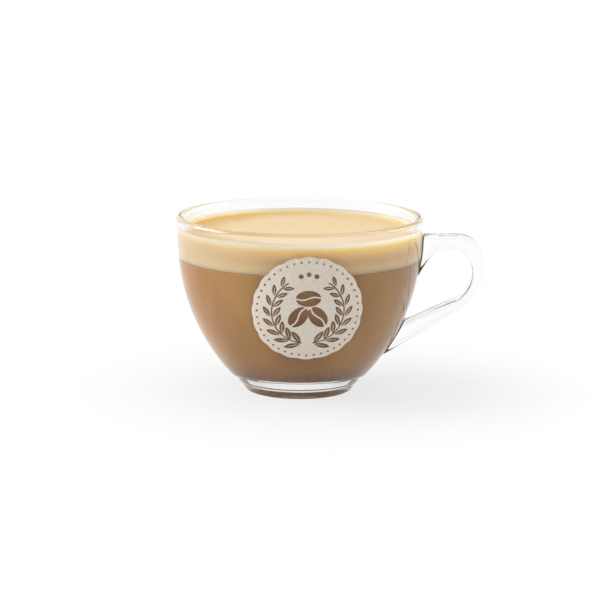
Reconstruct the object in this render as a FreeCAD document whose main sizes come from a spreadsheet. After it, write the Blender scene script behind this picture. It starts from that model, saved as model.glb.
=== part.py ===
import FreeCAD, Part
import math
import os
import sys

import Sketcher

# A glass cup of milky coffee: a pressed glass bowl on a tapered foot, with a
# rolled rim and a strap handle, filled with a brown drink under a layer of milk
# foam. Millimetres, +Z up, standing on the XY plane. The handle points along +X
# and the origin is the middle of the footprint, handle included. Each body is
# drawn about the bowl's axis and then shifted to that origin.

SIZES = {
    # Bowl
    "bowl_radius": ("49.0", "outer radius at the shoulder, where the wall's long curve ends"),
    "wall_flare": ("2.5", "degrees the wall leans out from the shoulder up to the rim"),
    "rim_height": ("71.2", "top of the rim above the table"),
    "rim_overhang": ("1.0", "outer edge of the rolled rim out past the shoulder"),
    "rim_neck_radius": ("2.5", "hollow round between wall and rim"),
    "shoulder_drop": ("13.3", "rim down to the shoulder"),
    "wall_thickness": ("2.9", "glass wall"),
    "base_thickness": ("9.0", "table to the floor inside the bowl"),
    "floor_corner_radius": ("7.0", "round between the floor and the wall inside"),
    # Foot
    "foot_radius": ("24.8", "lip at the top of the foot"),
    "foot_height": ("4.9", "table to the top of the foot's lip"),
    "foot_lip": ("1.1", "height of the upright lip"),
    "foot_taper": ("4.4", "lip radius less the radius of the ring it stands on"),
    "contact_width": ("3.5", "width of the ring that touches the table"),
    "recess_depth": ("0.9", "hollow under the foot"),
    "heel_overhang": ("3.5", "foot lip out to where the wall's long curve starts"),
    "heel_rise": ("2.6", "foot lip up to where the wall's long curve starts"),
    "foot_edge_radius": ("0.6", "rounding of the foot's edges"),
    # Handle, a strap with a tear-shaped finger hole
    "handle_projection": ("25.2", "shoulder out to the far side of the handle"),
    "handle_drop": ("7.7", "rim down to the top of the handle"),
    "handle_width": ("9.6", "width of the strap"),
    "strap_thickness": ("4.4", "thickness at the far side"),
    "arm_thickness": ("5.4", "thickness of the upper arm"),
    "shoulder_radius": ("10.0", "outer corner of the upper arm"),
    "outer_bend_radius": ("16.8", "outer bend above the lower arm"),
    "arch_radius": ("9.8", "top of the finger hole"),
    "inner_bend_radius": ("12.5", "bottom of the finger hole"),
    "upper_root_span": ("16.6", "handle top down to the upper root's lower end"),
    "lower_root_height": ("14.4", "table to the lower root's lower end"),
    "lower_root_span": ("13.0", "length of the lower root, measured upright"),
    "root_depth": ("6.0", "how far the arms are drawn into the bowl"),
    "strap_edge_radius": ("1.6", "rounding of the strap's long edges"),
    "root_fillet_radius": ("1.6", "hollow round where the strap meets the bowl"),
    # Drink
    "foam_drop": ("6.2", "rim down to the foam's surface"),
    "foam_thickness": ("10.6", "depth of the foam layer"),
    "meniscus_height": ("2.0", "how far the foam climbs the wall"),
    "meniscus_width": ("3.0", "how far in from the wall the climb starts"),
}

# Places that follow from the sizes above.
DERIVED = {
    "rim_radius": "=bowl_radius + rim_overhang",
    "shoulder_height": "=rim_height - shoulder_drop",
    "cavity_radius": "=bowl_radius - wall_thickness * cos(wall_flare)",
    "cavity_shoulder": "=shoulder_height + wall_thickness * sin(wall_flare)",
    "rim_bead_radius": "=((rim_radius - cavity_radius) * cos(wall_flare)"
                       " - (rim_height - cavity_shoulder) * sin(wall_flare))"
                       " / (1 + cos(wall_flare) - sin(wall_flare))",
    "contact_radius": "=foot_radius - foot_taper",
    "recess_radius": "=contact_radius - contact_width",
    "heel_radius": "=foot_radius + heel_overhang",
    "heel_height": "=foot_height + heel_rise",
    "wall_curve_radius": "=((bowl_radius - heel_radius) ^ 2 + (shoulder_height - heel_height) ^ 2)"
                         " / (2 * (bowl_radius - heel_radius) * cos(wall_flare)"
                         " - 2 * (shoulder_height - heel_height) * sin(wall_flare))",
    "wall_curve_across": "=bowl_radius - wall_curve_radius * cos(wall_flare)",
    "wall_curve_height": "=shoulder_height + wall_curve_radius * sin(wall_flare)",
    "handle_reach": "=bowl_radius + handle_projection",
    "handle_top": "=rim_height - handle_drop",
    "hole_reach": "=handle_reach - strap_thickness",
    "bend_height": "=handle_top - arm_thickness - arch_radius",
    "foam_top": "=rim_height - foam_drop",
    "drink_top": "=foam_top - foam_thickness",
    "crest_height": "=foam_top + meniscus_height",
    "crest_radius": "=cavity_radius + (crest_height - cavity_shoulder) * tan(wall_flare)",
    "axis_shift": "=(handle_reach - rim_radius) / 2",
}

ORIGIN = -1
ALONG, UP = "DistanceX", "DistanceY"
START, END, CENTRE = 1, 2, 3


def make_sheet(doc):
    """Write every size and every derived place into one spreadsheet."""
    sheet = doc.addObject("Spreadsheet::Sheet", "Sizes")
    row = 1
    for alias, (value, note) in SIZES.items():
        sheet.set(f"A{row}", alias)
        sheet.set(f"B{row}", value)
        sheet.set(f"C{row}", note)
        sheet.setAlias(f"B{row}", alias)
        row += 1
    for alias, formula in DERIVED.items():
        sheet.set(f"A{row}", alias)
        sheet.set(f"B{row}", formula)
        sheet.setAlias(f"B{row}", alias)
        row += 1
    doc.recompute()
    return sheet


def wall_radius(sheet, height):
    """Outer radius of the bowl at a height above the table, from the heel up to the rim's neck."""
    if height > sheet.shoulder_height:
        lean = math.radians(sheet.wall_flare)
        return sheet.bowl_radius + (height - sheet.shoulder_height) * math.tan(lean)
    drop = sheet.wall_curve_height - height
    return sheet.wall_curve_across + math.sqrt(sheet.wall_curve_radius ** 2 - drop ** 2)


def wall_radius_inside(sheet, height):
    """Radius of the cavity at a height above the table, up to the shoulder."""
    drop = sheet.wall_curve_height - height
    curve = sheet.wall_curve_radius - sheet.wall_thickness
    return sheet.wall_curve_across + math.sqrt(curve ** 2 - drop ** 2)


def wall_formula(height):
    """The outer radius up to the shoulder, as a formula over the sheet's cells."""
    return ("Sizes.wall_curve_across + sqrt(Sizes.wall_curve_radius ^ 2"
            f" - (Sizes.wall_curve_height - ({height})) ^ 2)")


def curve_centre(sheet):
    """Centre of the wall's long curve, inside and outside."""
    return (sheet.wall_curve_across, sheet.wall_curve_height)


def rim_centre(sheet):
    """Centre of the rolled rim."""
    return (sheet.rim_radius - sheet.rim_bead_radius, sheet.rim_height - sheet.rim_bead_radius)


def neck_centre(sheet):
    """Centre of the hollow round that touches the leaning wall and the rolled rim."""
    lean = math.radians(sheet.wall_flare)
    outward = (math.cos(lean), -math.sin(lean))
    upward = (math.sin(lean), math.cos(lean))
    neck = sheet.rim_neck_radius
    level = (sheet.bowl_radius + neck * outward[0], sheet.shoulder_height + neck * outward[1])
    rim = rim_centre(sheet)
    gap = (rim[0] - level[0], rim[1] - level[1])
    aside = gap[0] * outward[0] + gap[1] * outward[1]
    climb = gap[0] * upward[0] + gap[1] * upward[1]
    climb -= math.sqrt((neck + sheet.rim_bead_radius) ** 2 - aside ** 2)
    return (level[0] + climb * upward[0], level[1] + climb * upward[1])


def arc_centre(start, direction, end):
    """Centre of the arc that leaves start along direction and meets end."""
    normal = (-direction[1], direction[0])
    along = (end[0] - start[0], end[1] - start[1])
    reach = (along[0] ** 2 + along[1] ** 2) / (2 * (along[0] * normal[0] + along[1] * normal[1]))
    return (start[0] + reach * normal[0], start[1] + reach * normal[1])


class Profile:
    """A sketch on one of a body's own origin planes, drawn point by point."""

    def __init__(self, body, name, plane):
        self.sketch = body.newObject("Sketcher::SketchObject", name)
        origin_plane = [f for f in body.Origin.OriginFeatures if f.Role == plane][0]
        self.sketch.AttachmentSupport = [(origin_plane, "")]
        self.sketch.MapMode = "FlatFace"

    def line(self, start, end):
        """Add a straight edge."""
        edge = Part.LineSegment(FreeCAD.Vector(*start, 0), FreeCAD.Vector(*end, 0))
        return self.sketch.addGeometry(edge, False)

    def arc(self, centre, first, last):
        """Add a round edge that turns left from the point first to the point last."""
        radius = math.hypot(first[0] - centre[0], first[1] - centre[1])
        begin = math.atan2(first[1] - centre[1], first[0] - centre[0])
        finish = math.atan2(last[1] - centre[1], last[0] - centre[0])
        if finish <= begin:
            finish += 2 * math.pi
        circle = Part.Circle(FreeCAD.Vector(*centre, 0), FreeCAD.Vector(0, 0, 1), radius)
        return self.sketch.addGeometry(Part.ArcOfCircle(circle, begin, finish), False)

    def bend(self, centre, first, last):
        """Add the shorter round edge between two points; gives it with the names of its two ends."""
        ahead = (first[0] - centre[0]) * (last[1] - centre[1])
        if ahead > (first[1] - centre[1]) * (last[0] - centre[0]):
            return self.arc(centre, first, last), START, END
        return self.arc(centre, last, first), END, START

    def guide_point(self, place):
        """Add a construction point."""
        return self.sketch.addGeometry(Part.Point(FreeCAD.Vector(*place, 0)), True)

    def size(self, kind, first, second, value, formula):
        """Add a dimension bound to the sheet; first and second are (edge, end) pairs."""
        index = self.sketch.addConstraint(Sketcher.Constraint(kind, *first, *second, value))
        self.sketch.setExpression(f"Constraints[{index}]", formula)

    def place(self, edge, end, across, height):
        """Pin a point; across and height are (value, formula), or None to leave one free."""
        for kind, target in ((ALONG, across), (UP, height)):
            if target is None:
                continue
            value, formula = target
            self.size(kind, (ORIGIN, START), (edge, end), value, formula)

    def radius(self, edge, value, formula):
        """Set a round edge's radius."""
        index = self.sketch.addConstraint(Sketcher.Constraint("Radius", edge, value))
        self.sketch.setExpression(f"Constraints[{index}]", formula)

    def join(self, *ends):
        """Make pairs of edge ends meet; ends are (edge, end, edge, end) tuples."""
        for pair in ends:
            self.sketch.addConstraint(Sketcher.Constraint("Coincident", *pair))

    def smooth(self, *ends):
        """Make pairs of edge ends meet and run on tangent."""
        for pair in ends:
            self.sketch.addConstraint(Sketcher.Constraint("Tangent", *pair))

    def on_axis(self, edge, end):
        """Keep a point on the vertical axis."""
        self.sketch.addConstraint(Sketcher.Constraint("DistanceX", ORIGIN, START, edge, end, 0.0))

    def level(self, *edges):
        """Keep edges horizontal."""
        for edge in edges:
            self.sketch.addConstraint(Sketcher.Constraint("Horizontal", edge))

    def upright(self, *edges):
        """Keep edges vertical."""
        for edge in edges:
            self.sketch.addConstraint(Sketcher.Constraint("Vertical", edge))


def cell(sheet, alias):
    """Value of a cell together with the formula that points to it."""
    return getattr(sheet, alias), f"Sizes.{alias}"


def draw_outside(body, sheet):
    """Half section of the bowl as a solid lump: foot, wall and the rim's outer half."""
    bead = sheet.rim_bead_radius
    neck = sheet.rim_neck_radius
    rim_middle = rim_centre(sheet)
    neck_middle = neck_centre(sheet)
    share = bead / (bead + neck)
    neck_end = (rim_middle[0] + share * (neck_middle[0] - rim_middle[0]),
                rim_middle[1] + share * (neck_middle[1] - rim_middle[1]))
    lean = math.radians(sheet.wall_flare)
    wall_end = (neck_middle[0] - neck * math.cos(lean), neck_middle[1] + neck * math.sin(lean))
    recess_curve = (sheet.recess_radius ** 2 + sheet.recess_depth ** 2) / (2 * sheet.recess_depth)
    wall_middle = curve_centre(sheet)
    shoulder = (sheet.bowl_radius, sheet.shoulder_height)
    heel = (sheet.heel_radius, sheet.heel_height)
    heel_run = (heel[1] - wall_middle[1], wall_middle[0] - heel[0])
    lip_top = (sheet.foot_radius, sheet.foot_height)
    heel_centre = arc_centre(heel, heel_run, lip_top)
    lip_foot = (sheet.foot_radius, sheet.foot_height - sheet.foot_lip)

    profile = Profile(body, "OutsideProfile", "YZ_Plane")
    recess = profile.arc((0, sheet.recess_depth - recess_curve), (sheet.recess_radius, 0),
                         (0, sheet.recess_depth))
    ring = profile.line((sheet.recess_radius, 0), (sheet.contact_radius, 0))
    taper = profile.line((sheet.contact_radius, 0), lip_foot)
    lip = profile.line(lip_foot, lip_top)
    heel_bend, bend_start, bend_end = profile.bend(heel_centre, lip_top, heel)
    wall = profile.arc(wall_middle, heel, shoulder)
    straight = profile.line(shoulder, wall_end)
    hollow = profile.arc(neck_middle, neck_end, wall_end)
    rim = profile.arc(rim_middle, neck_end, (rim_middle[0], sheet.rim_height))
    top = profile.line((rim_middle[0], sheet.rim_height), (0, sheet.rim_height))
    axis = profile.line((0, sheet.rim_height), (0, sheet.recess_depth))

    profile.join((recess, START, ring, START), (ring, END, taper, START), (taper, END, lip, START),
                 (lip, END, heel_bend, bend_start), (rim, END, top, START), (top, END, axis, START),
                 (axis, END, recess, END))
    profile.smooth((heel_bend, bend_end, wall, START), (wall, END, straight, START),
                   (straight, END, hollow, END), (hollow, START, rim, START))
    profile.level(ring, top)
    profile.upright(lip, axis)
    profile.on_axis(recess, CENTRE)
    profile.on_axis(recess, END)
    profile.place(recess, END, None, cell(sheet, "recess_depth"))
    profile.place(ring, START, cell(sheet, "recess_radius"), (0.0, "0"))
    profile.place(ring, END, cell(sheet, "contact_radius"), None)
    profile.place(lip, START, cell(sheet, "foot_radius"), (lip_foot[1], "Sizes.foot_height - Sizes.foot_lip"))
    profile.place(lip, END, None, cell(sheet, "foot_height"))
    profile.place(wall, START, cell(sheet, "heel_radius"), cell(sheet, "heel_height"))
    profile.place(wall, END, cell(sheet, "bowl_radius"), cell(sheet, "shoulder_height"))
    profile.place(wall, CENTRE, cell(sheet, "wall_curve_across"), None)
    profile.radius(hollow, neck, "Sizes.rim_neck_radius")
    profile.radius(rim, bead, "Sizes.rim_bead_radius")
    profile.place(rim, CENTRE, (rim_middle[0], "Sizes.rim_radius - Sizes.rim_bead_radius"),
                  (rim_middle[1], "Sizes.rim_height - Sizes.rim_bead_radius"))
    profile.place(rim, END, (rim_middle[0], "Sizes.rim_radius - Sizes.rim_bead_radius"), None)
    return profile.sketch


def cavity_corner(sheet):
    """Centre of the round between floor and wall inside, and its two ends."""
    corner = sheet.floor_corner_radius
    wall_middle = curve_centre(sheet)
    inner_curve = sheet.wall_curve_radius - sheet.wall_thickness
    height = sheet.base_thickness + corner
    drop = wall_middle[1] - height
    centre = (wall_middle[0] + math.sqrt((inner_curve - corner) ** 2 - drop ** 2), height)
    share = inner_curve / (inner_curve - corner)
    wall_end = (wall_middle[0] + share * (centre[0] - wall_middle[0]),
                wall_middle[1] + share * (centre[1] - wall_middle[1]))
    return centre, (centre[0], sheet.base_thickness), wall_end


def place_wall(profile, sheet, side):
    """Put a round edge on the curve of the cavity's wall."""
    profile.place(side, CENTRE, cell(sheet, "wall_curve_across"), cell(sheet, "wall_curve_height"))
    profile.radius(side, sheet.wall_curve_radius - sheet.wall_thickness,
                   "Sizes.wall_curve_radius - Sizes.wall_thickness")


def draw_cavity_side(profile, sheet, wall_top):
    """Floor, corner and curved wall of the cavity, from the axis up to the point wall_top."""
    corner_centre, floor_end, wall_end = cavity_corner(sheet)
    floor = profile.line((0, sheet.base_thickness), floor_end)
    corner = profile.arc(corner_centre, floor_end, wall_end)
    side = profile.arc(curve_centre(sheet), wall_end, wall_top)
    profile.on_axis(floor, START)
    profile.level(floor)
    profile.place(floor, START, None, cell(sheet, "base_thickness"))
    profile.smooth((floor, END, corner, START), (corner, END, side, START))
    profile.radius(corner, sheet.floor_corner_radius, "Sizes.floor_corner_radius")
    place_wall(profile, sheet, side)
    return floor, side


def draw_cavity(body, sheet):
    """Half section of the hollow, open at the top through the rim's inner half."""
    bead = sheet.rim_bead_radius
    shoulder = (sheet.cavity_radius, sheet.cavity_shoulder)
    rim_middle = rim_centre(sheet)
    lean = math.radians(sheet.wall_flare)
    wall_end = (rim_middle[0] - bead * math.cos(lean), rim_middle[1] + bead * math.sin(lean))
    rim_top = (rim_middle[0], sheet.rim_height)
    above = sheet.rim_height + bead

    profile = Profile(body, "CavityProfile", "YZ_Plane")
    floor, side = draw_cavity_side(profile, sheet, shoulder)
    straight = profile.line(shoulder, wall_end)
    rim = profile.arc(rim_middle, rim_top, wall_end)
    mouth = profile.line(rim_top, (rim_top[0], above))
    lid = profile.line((rim_top[0], above), (0, above))
    axis = profile.line((0, above), (0, sheet.base_thickness))
    profile.smooth((side, END, straight, START), (straight, END, rim, END))
    profile.join((rim, START, mouth, START), (mouth, END, lid, START), (lid, END, axis, START),
                 (axis, END, floor, START))
    profile.upright(mouth, axis)
    profile.level(lid)
    profile.place(side, END, None, cell(sheet, "cavity_shoulder"))
    profile.place(rim, CENTRE, (rim_middle[0], "Sizes.rim_radius - Sizes.rim_bead_radius"),
                  (rim_middle[1], "Sizes.rim_height - Sizes.rim_bead_radius"))
    profile.place(rim, START, (rim_top[0], "Sizes.rim_radius - Sizes.rim_bead_radius"), None)
    profile.place(mouth, END, None, (above, "Sizes.rim_height + Sizes.rim_bead_radius"))
    return profile.sketch


def tangent_point(centre, radius, anchor, side):
    """Where a line from anchor touches a circle; side is 1 or -1 for left or right of the way in."""
    to_centre = (centre[0] - anchor[0], centre[1] - anchor[1])
    span = math.hypot(*to_centre)
    heading = math.atan2(to_centre[1], to_centre[0]) + side * math.asin(radius / span)
    run = math.sqrt(span ** 2 - radius ** 2)
    return (anchor[0] + run * math.cos(heading), anchor[1] + run * math.sin(heading))


def point_on_line(first, second, across):
    """Point at a given distance from the axis on the line through two points."""
    share = (across - first[0]) / (second[0] - first[0])
    return (across, first[1] + share * (second[1] - first[1]))


def draw_handle(body, sheet):
    """Side view of the strap with its finger hole; both arms run on into the bowl."""
    top = sheet.handle_top
    bend_height = sheet.bend_height
    shoulder_centre = (sheet.handle_reach - sheet.shoulder_radius, top - sheet.shoulder_radius)
    outer_centre = (sheet.handle_reach - sheet.outer_bend_radius, bend_height)
    arch_centre = (sheet.hole_reach - sheet.arch_radius, bend_height)
    inner_centre = (sheet.hole_reach - sheet.inner_bend_radius, bend_height)
    heights = {
        "outer": (sheet.lower_root_height, "Sizes.lower_root_height"),
        "inner": (sheet.lower_root_height + sheet.lower_root_span,
                  "Sizes.lower_root_height + Sizes.lower_root_span"),
        "upper": (top - sheet.upper_root_span, "Sizes.handle_top - Sizes.upper_root_span"),
    }
    anchors = {name: (wall_radius(sheet, value), value) for name, (value, _) in heights.items()}
    outer_touch = tangent_point(outer_centre, sheet.outer_bend_radius, anchors["outer"], -1)
    inner_touch = tangent_point(inner_centre, sheet.inner_bend_radius, anchors["inner"], -1)
    upper_touch = tangent_point(arch_centre, sheet.arch_radius, anchors["upper"], 1)
    back = anchors["outer"][0] - sheet.root_depth
    hole_back = anchors["inner"][0] - sheet.root_depth
    outer_end = point_on_line(anchors["outer"], outer_touch, back)
    inner_end = point_on_line(anchors["inner"], inner_touch, hole_back)
    upper_end = point_on_line(anchors["upper"], upper_touch, hole_back)

    profile = Profile(body, "HandleProfile", "XZ_Plane")
    crown = profile.line((back, top), (shoulder_centre[0], top))
    shoulder = profile.arc(shoulder_centre, (sheet.handle_reach, shoulder_centre[1]),
                           (shoulder_centre[0], top))
    far_side = profile.line((sheet.handle_reach, shoulder_centre[1]), (sheet.handle_reach, bend_height))
    outer_bend = profile.arc(outer_centre, outer_touch, (sheet.handle_reach, bend_height))
    underside = profile.line(outer_touch, outer_end)
    closing = profile.line(outer_end, (back, top))
    arch = profile.arc(arch_centre, (sheet.hole_reach, bend_height), upper_touch)
    inner_bend = profile.arc(inner_centre, inner_touch, (sheet.hole_reach, bend_height))
    ledge = profile.line(inner_touch, inner_end)
    ceiling = profile.line(upper_touch, upper_end)
    hole_closing = profile.line(inner_end, upper_end)

    profile.smooth((crown, END, shoulder, END), (shoulder, START, far_side, START),
                   (far_side, END, outer_bend, END), (outer_bend, START, underside, START),
                   (arch, START, inner_bend, END), (inner_bend, START, ledge, START),
                   (arch, END, ceiling, START))
    profile.join((underside, END, closing, START), (closing, END, crown, START),
                 (ledge, END, hole_closing, START), (hole_closing, END, ceiling, END))
    profile.level(crown)
    profile.upright(far_side, closing, hole_closing)
    profile.radius(shoulder, sheet.shoulder_radius, "Sizes.shoulder_radius")
    profile.radius(outer_bend, sheet.outer_bend_radius, "Sizes.outer_bend_radius")
    profile.radius(arch, sheet.arch_radius, "Sizes.arch_radius")
    profile.radius(inner_bend, sheet.inner_bend_radius, "Sizes.inner_bend_radius")
    profile.place(crown, END, None, cell(sheet, "handle_top"))
    profile.place(far_side, END, cell(sheet, "handle_reach"), cell(sheet, "bend_height"))
    profile.place(arch, START, cell(sheet, "hole_reach"), cell(sheet, "bend_height"))
    profile.place(inner_bend, CENTRE, None, cell(sheet, "bend_height"))
    profile.place(closing, START, (back, f"{wall_formula(heights['outer'][1])} - Sizes.root_depth"), None)
    profile.place(hole_closing, START,
                  (hole_back, f"{wall_formula(heights['inner'][1])} - Sizes.root_depth"), None)
    for name, edge in (("outer", underside), ("inner", ledge), ("upper", ceiling)):
        value, formula = heights[name]
        mark = profile.guide_point(anchors[name])
        profile.place(mark, START, (anchors[name][0], wall_formula(formula)), (value, formula))
        profile.sketch.addConstraint(Sketcher.Constraint("PointOnObject", mark, START, edge))
    return profile.sketch


def draw_drink(body, sheet):
    """Half section of the brown drink, from the floor up to the foam."""
    level = sheet.drink_top
    side_top = (wall_radius_inside(sheet, level), level)
    profile = Profile(body, "DrinkProfile", "YZ_Plane")
    floor, side = draw_cavity_side(profile, sheet, side_top)
    surface = profile.line(side_top, (0, level))
    axis = profile.line((0, level), (0, sheet.base_thickness))
    profile.join((side, END, surface, START), (surface, END, axis, START), (axis, END, floor, START))
    profile.level(surface)
    profile.upright(axis)
    profile.place(surface, END, None, cell(sheet, "drink_top"))
    return profile.sketch


def draw_foam(body, sheet):
    """Half section of the foam, from the drink up to a flat top that climbs a little at the wall."""
    level = sheet.drink_top
    top = sheet.foam_top
    shoulder = (sheet.cavity_radius, sheet.cavity_shoulder)
    foot = (wall_radius_inside(sheet, level), level)
    width = sheet.meniscus_width
    climb = (width ** 2 + sheet.meniscus_height ** 2) / (2 * sheet.meniscus_height)
    flat_end = (sheet.crest_radius - width, top)
    crest = (sheet.crest_radius, sheet.crest_height)

    profile = Profile(body, "FoamProfile", "YZ_Plane")
    under = profile.line((0, level), foot)
    side = profile.arc(curve_centre(sheet), foot, shoulder)
    straight = profile.line(shoulder, crest)
    meniscus = profile.arc((flat_end[0], top + climb), flat_end, crest)
    surface = profile.line(flat_end, (0, top))
    axis = profile.line((0, top), (0, level))
    profile.join((under, END, side, START), (straight, END, meniscus, END),
                 (surface, END, axis, START), (axis, END, under, START))
    profile.smooth((side, END, straight, START), (meniscus, START, surface, START))
    profile.level(under, surface)
    profile.upright(axis)
    profile.on_axis(under, START)
    profile.place(under, START, None, cell(sheet, "drink_top"))
    place_wall(profile, sheet, side)
    profile.place(side, END, None, cell(sheet, "cavity_shoulder"))
    profile.place(meniscus, START, (flat_end[0], "Sizes.crest_radius - Sizes.meniscus_width"),
                  cell(sheet, "foam_top"))
    profile.place(meniscus, END, None, cell(sheet, "crest_height"))
    return profile.sketch


def revolve(body, name, kind, sketch):
    """Turn a half section once round the vertical axis, adding or removing material."""
    feature = body.newObject(f"PartDesign::{kind}", name)
    feature.Profile = sketch
    feature.ReferenceAxis = (sketch, ["V_Axis"])
    feature.Angle = 360.0
    return feature


def round_edges(body, name, base, edges, alias):
    """Round the numbered edges of a feature with a radius from the sheet."""
    feature = body.newObject("PartDesign::Fillet", name)
    feature.Base = (base, [f"Edge{number}" for number in edges])
    feature.setExpression("Radius", f"Sizes.{alias}")
    return feature


def edges_where(shape, wanted):
    """Numbers of the edges whose middle point passes a test."""
    found = []
    for number, edge in enumerate(shape.Edges, 1):
        first, last = edge.ParameterRange
        if wanted(edge.valueAt((first + last) / 2)):
            found.append(number)
    return found


def make_cup(doc, sheet):
    """Glass cup: a turned lump with the strap grown onto it, hollowed last."""
    body = doc.addObject("PartDesign::Body", "GlassCup")
    body.Label = "glass_cup"
    lump = revolve(body, "BowlAndFoot", "Revolution", draw_outside(body, sheet))
    doc.recompute()

    lip_foot = sheet.foot_height - sheet.foot_lip
    corners = [(sheet.contact_radius, 0), (sheet.foot_radius, lip_foot),
               (sheet.foot_radius, sheet.foot_height)]

    def on_foot_corner(point):
        across = math.hypot(point.x, point.y)
        return any(math.hypot(across - r, point.z - z) < 1e-4 for r, z in corners)

    foot = round_edges(body, "FootEdges", lump, edges_where(lump.Shape, on_foot_corner), "foot_edge_radius")
    doc.recompute()

    handle = body.newObject("PartDesign::Pad", "Handle")
    handle.Profile = draw_handle(body, sheet)
    handle.SideType = "Symmetric"
    handle.setExpression("Length", "Sizes.handle_width")
    doc.recompute()

    half_width = sheet.handle_width / 2
    lowest = sheet.foot_height

    def on_wall(point):
        if not lowest < point.z < sheet.handle_top + sheet.root_fillet_radius:
            return False
        return abs(math.hypot(point.x, point.y) - wall_radius(sheet, point.z)) < 1e-3

    def on_strap_edge(point):
        return abs(abs(point.y) - half_width) < 1e-4 and not on_wall(point)

    def on_root(point):
        return abs(point.y) < half_width + 1e-4 and point.x > 0 and on_wall(point)

    strap = round_edges(body, "StrapEdges", handle, edges_where(handle.Shape, on_strap_edge),
                        "strap_edge_radius")
    doc.recompute()
    round_edges(body, "RootFillets", strap, edges_where(strap.Shape, on_root), "root_fillet_radius")
    doc.recompute()
    revolve(body, "Cavity", "Groove", draw_cavity(body, sheet))
    return body


def make_filling(doc, name, label, draw, sheet):
    """One layer of the drink, turned from its half section."""
    body = doc.addObject("PartDesign::Body", name)
    body.Label = label
    revolve(body, f"{name}Turn", "Revolution", draw(body, sheet))
    return body


def check(doc, bodies):
    """Stop before anything is written if a feature failed or a solid is missing."""
    faults = [obj.Name for obj in doc.Objects if "Invalid" in obj.State or "Error" in obj.State]
    loose = [obj.Name for obj in doc.Objects
             if obj.TypeId == "Sketcher::SketchObject" and not obj.FullyConstrained]
    broken = [body.Label for body in bodies
              if body.Shape.isNull() or not body.Shape.isValid() or len(body.Shape.Solids) != 1]
    if faults or loose or broken:
        sys.exit(f"failed features {faults}, loose sketches {loose}, bad solids {broken}")


def main():
    doc = FreeCAD.newDocument("MilkyCoffeeCup")
    sheet = make_sheet(doc)
    bodies = [
        make_cup(doc, sheet),
        make_filling(doc, "CoffeeDrink", "coffee_drink", draw_drink, sheet),
        make_filling(doc, "MilkFoam", "milk_foam", draw_foam, sheet),
    ]
    for body in bodies:
        body.setExpression("Placement.Base.x", "-Sizes.axis_shift")
    doc.recompute()
    check(doc, bodies)
    os.makedirs("parts", exist_ok=True)
    for body in bodies:
        body.Shape.exportStep(f"parts/{body.Label}.step")
        print(body.Label, round(body.Shape.Volume), "mm3", body.Shape.BoundBox)


main()
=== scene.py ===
"""Looks of a footed glass cup of milky coffee under a thick layer of milk foam.

Metres, +Z up, the handle towards +X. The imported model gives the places; every new piece is a surface of
revolution or a profile carried along a path, worked out with numpy about the bowl's axis. A point of a half
section is one complex number: its distance from the axis plus 1j times its height.
"""

import cmath
import logging
import math
from dataclasses import dataclass, field
from enum import Enum

import bpy
import numpy as np
from bpy.types import Material, Node, NodeSocket as Socket, NodeTree, Object, World
from mathutils import Matrix, Vector


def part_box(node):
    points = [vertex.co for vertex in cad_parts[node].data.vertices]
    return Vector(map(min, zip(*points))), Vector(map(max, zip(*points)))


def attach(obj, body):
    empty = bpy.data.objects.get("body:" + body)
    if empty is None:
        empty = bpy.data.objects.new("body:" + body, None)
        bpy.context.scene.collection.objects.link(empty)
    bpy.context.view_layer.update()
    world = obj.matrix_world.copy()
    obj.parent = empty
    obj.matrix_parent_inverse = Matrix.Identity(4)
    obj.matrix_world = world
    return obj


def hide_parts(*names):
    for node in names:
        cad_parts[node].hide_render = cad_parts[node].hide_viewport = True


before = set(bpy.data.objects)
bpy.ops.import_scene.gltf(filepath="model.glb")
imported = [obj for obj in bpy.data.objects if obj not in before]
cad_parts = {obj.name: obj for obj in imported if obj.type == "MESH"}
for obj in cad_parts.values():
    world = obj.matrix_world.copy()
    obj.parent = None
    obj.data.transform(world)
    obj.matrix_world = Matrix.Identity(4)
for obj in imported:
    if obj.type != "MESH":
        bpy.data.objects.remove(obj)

LOG = logging.getLogger("glass_cup_of_coffee")
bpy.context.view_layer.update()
BODY = "root"
RIM_TRIM = 0.0004
WHITE = (1.0, 1.0, 1.0, 1.0)
Point = tuple[float, float]
Place = tuple[float, float, float]
Tone = tuple[int, int, int]
Fade = tuple[float, ...]
Array = np.ndarray


def srgb(red: int, green: int, blue: int) -> tuple[float, ...]:
    """Linear colour of a screen colour.

    Args:
        red, green, blue: Screen values from 0 to 255.

    Returns:
        Linear red, green, blue and an alpha of 1.
    """
    values = np.array([red, green, blue]) / 255.0
    linear = np.where(values <= 0.04045, values / 12.92, ((values + 0.055) / 1.055) ** 2.4)
    return (*linear.tolist(), 1.0)


# ---------------------------------------------------------------- outlines


@dataclass(frozen=True)
class Run:
    """One straight or round run of an outline.

    A straight run has no centre. A round one turns by the signed angle turn about its centre.
    """

    start: complex
    end: complex
    centre: complex | None = None
    turn: float = 0.0

    @classmethod
    def arc(cls, centre: complex, start: complex, end: complex) -> "Run":
        """The shorter arc about a centre from one point to another."""
        return cls(start, end, centre, cmath.phase((end - centre) / (start - centre)))

    @classmethod
    def swept(cls, centre: complex, radius: float, first: float, last: float) -> "Run":
        """The arc about a centre from one angle to another, either way round."""
        ends = [centre + cmath.rect(radius, angle) for angle in (first, last)]
        return cls(*ends, centre, last - first)

    @property
    def length(self) -> float:
        """Length along the run."""
        return abs(self.end - self.start if self.centre is None else self.turn * (self.start - self.centre))

    def at(self, share: Array) -> Array:
        """Points of the run: start + share * (end - start), or the start turned by share * turn.

        Args:
            share: Shares of the run's length, 0 at its start and 1 at its end.

        Returns:
            The points.
        """
        if self.centre is None:
            return self.start + share * (self.end - self.start)
        return self.centre + (self.start - self.centre) * np.exp(1j * share * self.turn)

    def piece(self, count: int, skip: float = 0.0, leave: float = 0.0) -> Array:
        """count + 1 even points, without a length skipped at the start and one left at the end."""
        return self.at(np.linspace(skip / self.length, 1.0 - leave / self.length, count + 1))


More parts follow.
